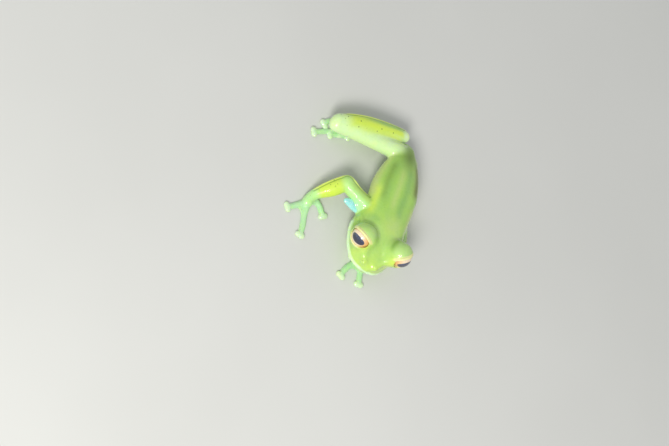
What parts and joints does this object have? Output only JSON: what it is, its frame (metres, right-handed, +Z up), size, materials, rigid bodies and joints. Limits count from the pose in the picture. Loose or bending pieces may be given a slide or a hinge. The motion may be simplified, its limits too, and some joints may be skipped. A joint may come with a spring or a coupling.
{
  "type": "glass frog",
  "caption": "Life-size still model of a small green glass frog resting low on a flat floor, one hand reaching out and the hind legs folded, with raised eyes and broad finger and toe discs.",
  "frame": {"origin": "the middle of the footprint's rectangle, on the floor", "axes": "+Z up from the floor, the snout towards -Y, the frog's left side towards +X"},
  "size_m": [0.0214, 0.027, 0.008],
  "materials": {
    "skin": "wet, smooth lime-green skin",
    "pale_skin": "wet, thin, pale green skin",
    "eye": "wet, clear surface over a pale iris and a dark pupil",
    "spine": "smooth pale turquoise bone under thin skin"
  },
  "bodies": {
    "root": {"head": "skin", "torso": "skin", "eye_right": "eye", "eye_left": "eye", "upper_arm_right": "skin", "forearm_right": "skin", "hand_right": "pale_skin", "humeral_spine_right": "spine", "upper_arm_left": "skin", "forearm_left": "skin", "hand_left": "pale_skin", "humeral_spine_left": "spine", "thigh_right": "skin", "shank_right": "skin", "tarsus_right": "skin", "foot_right": "pale_skin", "thigh_left": "skin", "shank_left": "skin", "tarsus_left": "skin", "foot_left": "pale_skin"}
  },
  "joints": []
}
